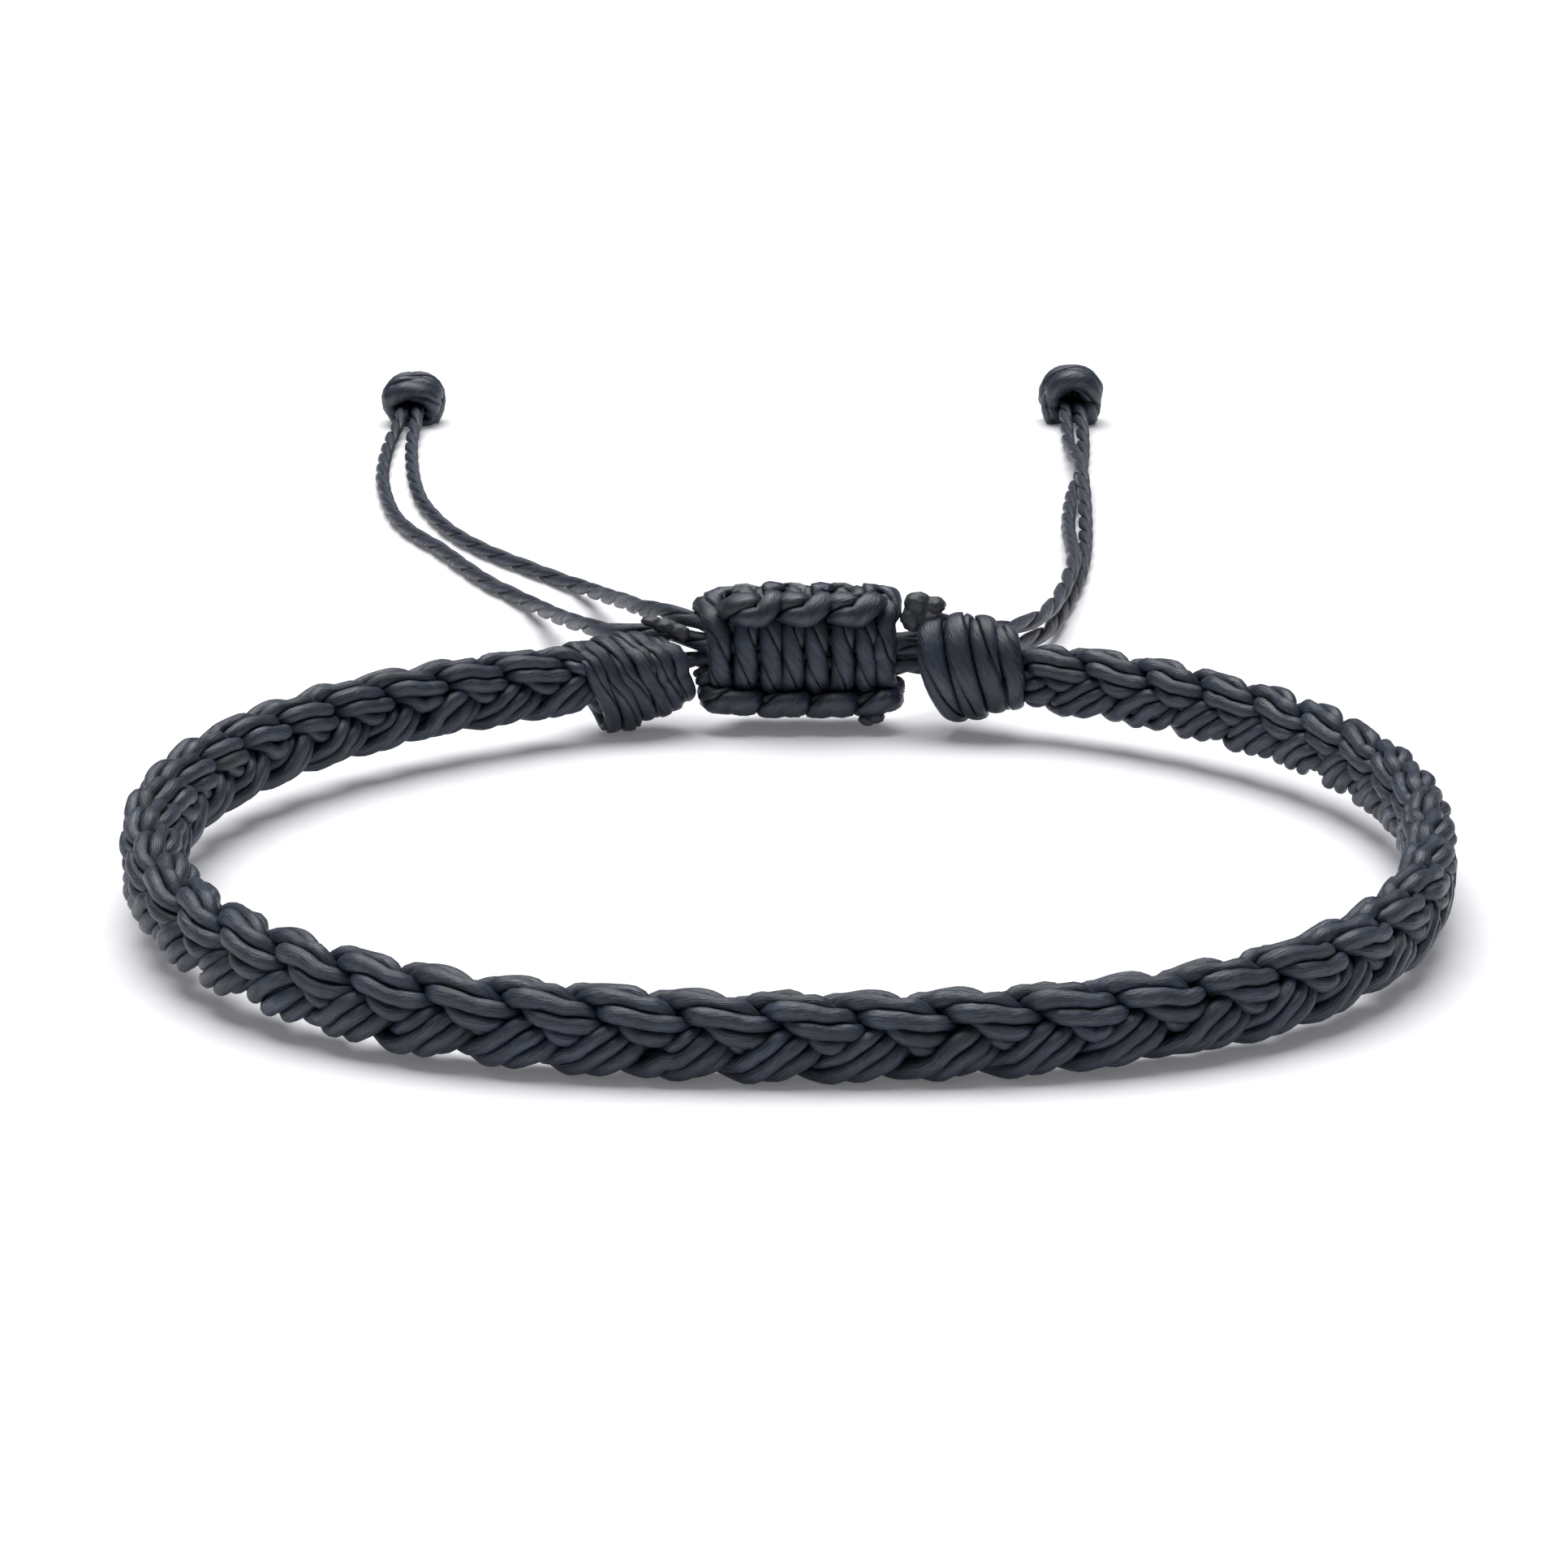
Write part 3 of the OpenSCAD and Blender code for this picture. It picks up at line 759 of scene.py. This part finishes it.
# %% [markdown]
# The second limit is how far the cord can swell as a whole. It is a circle round the cord's middle, and in
# a knot an oval, since a cord that is pulled tight round something is flat on it.

# %% How far a cord swells
def each_ply(key):
    """A value of every ply's cord, spread over the ply's points."""
    return np.concatenate([np.broadcast_to(y["cord"][key], len(y["line"])) for y in plies])


def knot_outward():
    """The direction away from the knot's axis at each point, or nothing where there is no knot."""
    out = np.zeros_like(points)
    for number, y in enumerate(plies):
        knot = y["cord"]["knot"]
        if knot:
            mine = np.flatnonzero(owner == number)
            turn = math.radians(knot["turn"])
            axis = np.array((math.cos(turn), math.sin(turn), 0))
            away = points[mine] - knot["at"]
            away -= axis * (away @ axis)[:, None]
            out[mine] = away - along[mine] * np.sum(away * along[mine], 1, keepdims=True)
    return out / np.maximum(np.linalg.norm(out, axis=1, keepdims=True), 1e-9)


away = knot_outward()
squash = (1 / each_ply("flat") - 1)[:, None]
long_toward = toward + away[:, None] * (np.sum(toward * away[:, None], 2) * squash)[:, :, None]
long_off = off + away * np.sum(off * away, 1, keepdims=True) * squash
square = np.sum(long_toward**2, 2)
shift = np.sum(long_toward * long_off[:, None], 2)
room = (np.sum(long_off**2, 1) - each_ply("wide") ** 2)[:, None]
rim = (-shift + np.sqrt(np.maximum(shift * shift - square * room, 0))) / square
print("a ply can reach %.2f mm on average" % rim.mean())

# %% [markdown]
# The third limit is the inside of a bend, where rings that reach too far would run into each other. The
# last is the cap that some cords have. The least of the four counts, with the corners between them rounded
# off. The same numbers tell where a ply is pressed into a crease, and there the material gets painted shade.

# %% How far each ring reaches
fullness = 8
least_bend = 0.05
least_step = 0.05
bend_share = 0.9
press_from = 1.1
press_over = 0.5

step = (np.linalg.norm(points[after] - points, axis=1) + np.linalg.norm(points - points[before], axis=1)) / 2
bend = (points[after] + points[before] - 2 * points) / np.maximum(step, least_step)[:, None] ** 2
bend = (bend[before] + 2 * bend + bend[after]) / 4
inward = np.sum(toward * bend[:, None], 2)
turning = np.where(inward > least_bend, bend_share / np.maximum(inward, least_bend), no_limit)
# Where a ply is pressed into a crease. This mask paints shade into the cord's colour.
pressed = ease((press_from * rim - reach) / (press_over * rim))
cap = each_ply("cap")[:, None]
reach = (reach**-fullness + rim**-fullness + turning**-fullness + cap**-fullness) ** (-1 / fullness)
print("ring reach from %.2f to %.2f mm" % (reach.min(), reach.max()))

# %% [markdown]
# ## Surfaces
#
# The rings become one mesh a piece. A skin modifier or a curve's bevel could make tubes, but not with a
# reach of their own at every ring, so the faces are laid between the rings directly. Each vertex also
# remembers where it is on its yarn, so that the material can draw fibres that follow the twist, and how
# dark it is: the yarn's own tone, with painted shade where the ply is pressed into a crease.

# %% Faces between rings
fibre_lean = 0.25
fibre_stretch = 0.35
tip_share = 0.6
# How dark the painted shade in a crease makes a pressed ply.
painted_crease_shade = 0.85


def tube_faces(base, rings, closed):
    """The faces between one ply's rings, of which the first vertex is number base."""
    faces = []
    for k in range(rings if closed else rings - 1):
        here = base + k * ring_sides
        there = base + (k + 1) % rings * ring_sides
        for m in range(ring_sides):
            n = (m + 1) % ring_sides
            faces.append((here + m, here + n, there + n, there + m))
    return faces


def tip_faces(tip, start, at_end):
    """The faces between a ply's first or last ring and the vertex at its tip, which all point outwards."""
    faces = []
    for m in range(ring_sides):
        pair = (start + m, start + (m + 1) % ring_sides)
        faces.append((tip,) + (pair if at_end else pair[::-1]))
    return faces


print("a tube of 3 rings has", len(tube_faces(0, 3, False)), "faces")

# %% A mesh for each piece
def ply_mesh(name, numbers):
    """One object from the rings of some plies, with a closed tip at each open end."""
    verts, faces, fibre, shade = [], [], [], []
    for number in numbers:
        mine = np.flatnonzero(owner == number)
        closed = plies[number]["cord"]["closed"]
        base = len(verts)
        rings = len(mine)
        spread = reach[mine]
        if not closed:
            spread[[0, -1]] *= tip_share
        ring = points[mine][:, None] + toward[mine] * spread[:, :, None]
        ring[:, :, 2] = np.maximum(ring[:, :, 2], 0)
        verts += (ring.reshape(-1, 3) * mm).tolist()
        faces += tube_faces(base, rings, closed)

        gone = travelled(points[mine])
        own_place = chance.uniform(0, 40)
        own_shade = chance.uniform(0.78, 1.25)
        lean = angles[None] + fibre_lean * gone[:, None]
        along_yarn = np.broadcast_to((gone * fibre_stretch + own_place)[:, None], lean.shape)
        fibre += np.stack([np.cos(lean), np.sin(lean), along_yarn], 2).reshape(-1, 3).tolist()
        # The yarn's own tone, with painted shade in the creases where the ply is pressed.
        shade += (own_shade * (1 - painted_crease_shade * pressed[mine])).ravel().tolist()
        if not closed:
            for k, at_end in ((0, False), (rings - 1, True)):
                faces += tip_faces(len(verts), base + k * ring_sides, at_end)
                verts.append((points[mine[k]] * mm).tolist())
                fibre.append((0, 0, own_place))
                shade.append(own_shade)
    mesh = bpy.data.meshes.new(name)
    mesh.from_pydata(verts, [], faces)
    mesh.attributes.new("fibre", "FLOAT_VECTOR", "POINT").data.foreach_set("vector", np.ravel(fibre))
    mesh.attributes.new("shade", "FLOAT", "POINT").data.foreach_set("value", shade)
    mesh.shade_smooth()
    piece = bpy.data.objects.new(name, mesh)
    bpy.context.scene.collection.objects.link(piece)
    return piece


pieces = {}
for name in dict.fromkeys(y["cord"]["piece"] for y in plies):
    numbers = [k for k, y in enumerate(plies) if y["cord"]["piece"] == name]
    pieces[name] = ply_mesh(name + "_plies", numbers)
    print(name, len(pieces[name].data.polygons), "faces")

# %% [markdown]
# ## Melted ends
#
# A polyester cord is cut short at a knot and its end is melted, so that it can't slip out. The melt sets as
# a dark rounded lump. It could be sculpted, but a few rough balls that a remesh melts into one come close
# to how the real lump forms, and a light smoothing takes the edges off.

# %% Where the melted ends are
# Each ball: its middle, and its half sizes.
melted_ends = {
    "right_stopper_knot": [((7.1, 25.4, 7.4), (0.75, 0.7, 0.6)), ((8.1, 25.3, 7.3), (0.6, 0.6, 0.45)),
                           ((6.85, 25.3, 6.5), (0.7, 0.7, 0.75)), ((7.8, 25.1, 6.5), (0.7, 0.7, 0.6))],
    "left_stopper_knot": [((-7.8, 25.8, 6.2), (0.6, 0.5, 0.3)), ((-7.0, 25.7, 5.95), (0.75, 0.5, 0.4)),
                          ((-6.2, 25.5, 5.6), (0.6, 0.5, 0.5))],
    "sliding_knot": [((4.3, 24.5, 0.85), (0.5, 0.45, 0.35)), ((4.8, 24.6, 1.0), (0.5, 0.45, 0.4))],
}
melt_rough = 0.13
melt_grain = 0.09
print(len(melted_ends), "melted ends")

# %% Melted ends
def rough_ball(at, size, seed):
    """A ball with an uneven surface, with its place in its mesh."""
    bpy.ops.mesh.primitive_uv_sphere_add(segments=20, ring_count=14, radius=mm, location=Vector(at) * mm)
    ball = bpy.context.object
    ball.scale = size
    bpy.ops.object.transform_apply(location=True, rotation=True, scale=True)
    bpy.ops.object.mode_set(mode="EDIT")
    bpy.ops.transform.vertex_random(offset=melt_rough * mm, seed=seed)
    bpy.ops.object.mode_set(mode="OBJECT")
    return ball


lumps = {}
for name, balls in melted_ends.items():
    bpy.ops.object.select_all(action="DESELECT")
    made = [rough_ball(at, size, number + 1) for number, (at, size) in enumerate(balls)]
    for ball in made:
        ball.select_set(True)
    bpy.ops.object.join()
    lump = bpy.context.object
    bpy.ops.object.modifier_add(type="REMESH")
    lump.modifiers["Remesh"].voxel_size = melt_grain * mm
    bpy.ops.object.modifier_apply(modifier="Remesh")
    bpy.ops.object.modifier_add(type="SMOOTH")
    lump.modifiers["Smooth"].iterations = 2
    bpy.ops.object.modifier_apply(modifier="Smooth")
    bpy.ops.object.shade_smooth()
    lump.name = name + "_melted_end"
    lumps[name] = lump
    print(lump.name, len(lump.data.polygons), "faces")

# %% [markdown]
# ## Waxed cord
#
# Waxed polyester has a satin shine that is broken up by its fibres. Noise on the object's own coordinates
# would run across the cords, so two noises read the place on the yarn instead: fine streaks along the
# fibres, and slow patches where the wax lies thicker and shines more. Each yarn is a little paler or darker
# than the next, and painted shade makes it darkest where it is pressed against another, as in the grooves
# between the leaves of the plait.

# %% Helpers for materials
def set_inputs(node, inputs):
    """Sets a node's sockets. A socket's name has spaces where the word here has low lines."""
    for name, value in inputs.items():
        node.inputs[name.replace("_", " ")].default_value = value


def new_material(name, **inputs):
    """A material with one surface shader, and that shader."""
    material = bpy.data.materials.new(name)
    material.use_nodes = True
    shader = material.node_tree.nodes["Principled BSDF"]
    set_inputs(shader, inputs)
    return material, shader


def add_node(material, kind, **inputs):
    """A new node in the material, with its sockets set."""
    node = material.node_tree.nodes.new("ShaderNode" + kind)
    set_inputs(node, inputs)
    return node


def attribute(material, name):
    """A node that reads an attribute of the mesh."""
    node = add_node(material, "Attribute")
    node.attribute_name = name
    return node


held = pieces["sliding_knot"].data.attributes.keys()
print("the meshes hold:", [name for name in ("fibre", "shade") if name in held])

# %% The cord's material
def waxed_cord(name, colour, dark, pale):
    """Waxed cord. Its streaks go from dark to pale, which are shares of its colour."""
    material, shader = new_material(name, Specular_IOR_Level=0.68)
    link = material.node_tree.links.new
    fibre = attribute(material, "fibre")
    streaks = add_node(material, "TexNoise", Scale=6.5, Detail=4.0)
    patches = add_node(material, "TexNoise", Scale=1.6, Detail=1.0)
    for noise in (streaks, patches):
        link(fibre.outputs["Vector"], noise.inputs["Vector"])

    streak_colour = add_node(material, "ValToRGB")
    low, high = streak_colour.color_ramp.elements
    low.position = 0.3
    low.color = (*[c * dark for c in colour], 1)
    high.position = 0.72
    high.color = (*[c * pale for c in colour], 1)
    link(streaks.outputs["Fac"], streak_colour.inputs["Fac"])

    wax = add_node(material, "MapRange", From_Min=0.3, From_Max=0.7, To_Min=0.6, To_Max=1.4)
    link(patches.outputs["Fac"], wax.inputs["Value"])
    # The mesh's shade is the yarn's own tone with painted crease shade, and it is multiplied by the wax
    # patches.
    shade = add_node(material, "Math")
    shade.operation = "MULTIPLY"
    link(attribute(material, "shade").outputs["Fac"], shade.inputs[0])
    link(wax.outputs["Result"], shade.inputs[1])
    tone = add_node(material, "HueSaturation")
    link(streak_colour.outputs["Color"], tone.inputs["Color"])
    link(shade.outputs["Value"], tone.inputs["Value"])
    link(tone.outputs["Color"], shader.inputs["Base Color"])

    gloss = add_node(material, "MapRange", From_Min=0.3, From_Max=0.7, To_Min=0.55, To_Max=0.36)
    link(patches.outputs["Fac"], gloss.inputs["Value"])
    link(gloss.outputs["Result"], shader.inputs["Roughness"])
    bump = add_node(material, "Bump", Strength=0.9, Distance=0.06 * mm)
    link(streaks.outputs["Fac"], bump.inputs["Height"])
    link(bump.outputs["Normal"], shader.inputs["Normal"])
    return material


cord_material = waxed_cord("waxed_cord", (0.0108, 0.0175, 0.0305), dark=0.2, pale=2.6)
for piece in pieces.values():
    piece.data.materials.append(cord_material)
print(cord_material.name, "on", len(pieces), "pieces")

# %% [markdown]
# ## Melted cord
#
# Where the cord has melted, the fibres are gone. The lump is nearly black and a little dull, the same all
# over, and its rough shape alone breaks up the light, so one plain shader does.

# %% The melted ends' material
melt_material, _ = new_material("melted_cord", Base_Color=(0.020, 0.024, 0.030, 1), Roughness=0.55,
                                Specular_IOR_Level=0.6)
for lump in lumps.values():
    lump.data.materials.append(melt_material)
print(melt_material.name, "on", len(lumps), "lumps")

# %% [markdown]
# ## Table
#
# The bracelet lies on a plain white table, so bright in the photograph that only the shadow right under the
# cords is left of it. The table here gets no shine, which would wash out that shadow at this shallow angle,
# and it glows faintly, so that it stays white while the light on the cords can be kept low.

# %% Table
table_size = 6
bpy.ops.object.select_all(action="DESELECT")
bpy.ops.mesh.primitive_plane_add(size=table_size, location=(0, 0, 0))
table = bpy.context.object
table.name = "table"
table_material, _ = new_material("white_table", Base_Color=(0.9, 0.9, 0.92, 1), Roughness=0.6,
                                 Specular_IOR_Level=0.0, Emission_Color=(1, 1, 1, 1), Emission_Strength=0.11)
table.data.materials.append(table_material)
print("table of", table_size, "m")

# %% [markdown]
# ## Lights
#
# The cords are palest on top and at the back, and their shadows are soft and fall towards the viewer. So
# one wide soft light hangs high behind the bracelet. A weak one from the front left and a pale blue world
# keep the front of the band from going black.

# %% Lights
def soft_light(name, location, size, power):
    """A round light that points at what the camera aims at."""
    data = bpy.data.lights.new(name, "AREA")
    data.shape = "DISK"
    data.size = size
    data.energy = power
    light = bpy.data.objects.new(name, data)
    light.location = location
    light.rotation_euler = (aim - Vector(location)).to_track_quat("-Z", "Y").to_euler()
    bpy.context.scene.collection.objects.link(light)
    print(name, power, "W")


soft_light("back_light", (-0.1, 0.38, 1.25), size=1.45, power=25.0)
soft_light("front_fill", (-0.3, -0.5, 0.35), size=0.5, power=0.1)
world = bpy.data.worlds.new("studio")
bpy.context.scene.world = world
world.use_nodes = True
set_inputs(world.node_tree.nodes["Background"], {"Color": (0.88, 0.88, 1.0, 1), "Strength": 0.15})
bpy.context.scene.view_settings.view_transform = "Standard"

# %% [markdown]
# ## One body
#
# Every piece and melted end hangs on one body, for cord bends and nothing turns on a hinge. Where the solid
# model has a part with a piece's name, that part is hidden.


for name, piece in pieces.items():
    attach(piece, "root")
    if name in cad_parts:
        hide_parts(name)

for name, lump in lumps.items():
    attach(lump, "root")

print(len(pieces) + len(lumps), "pieces")
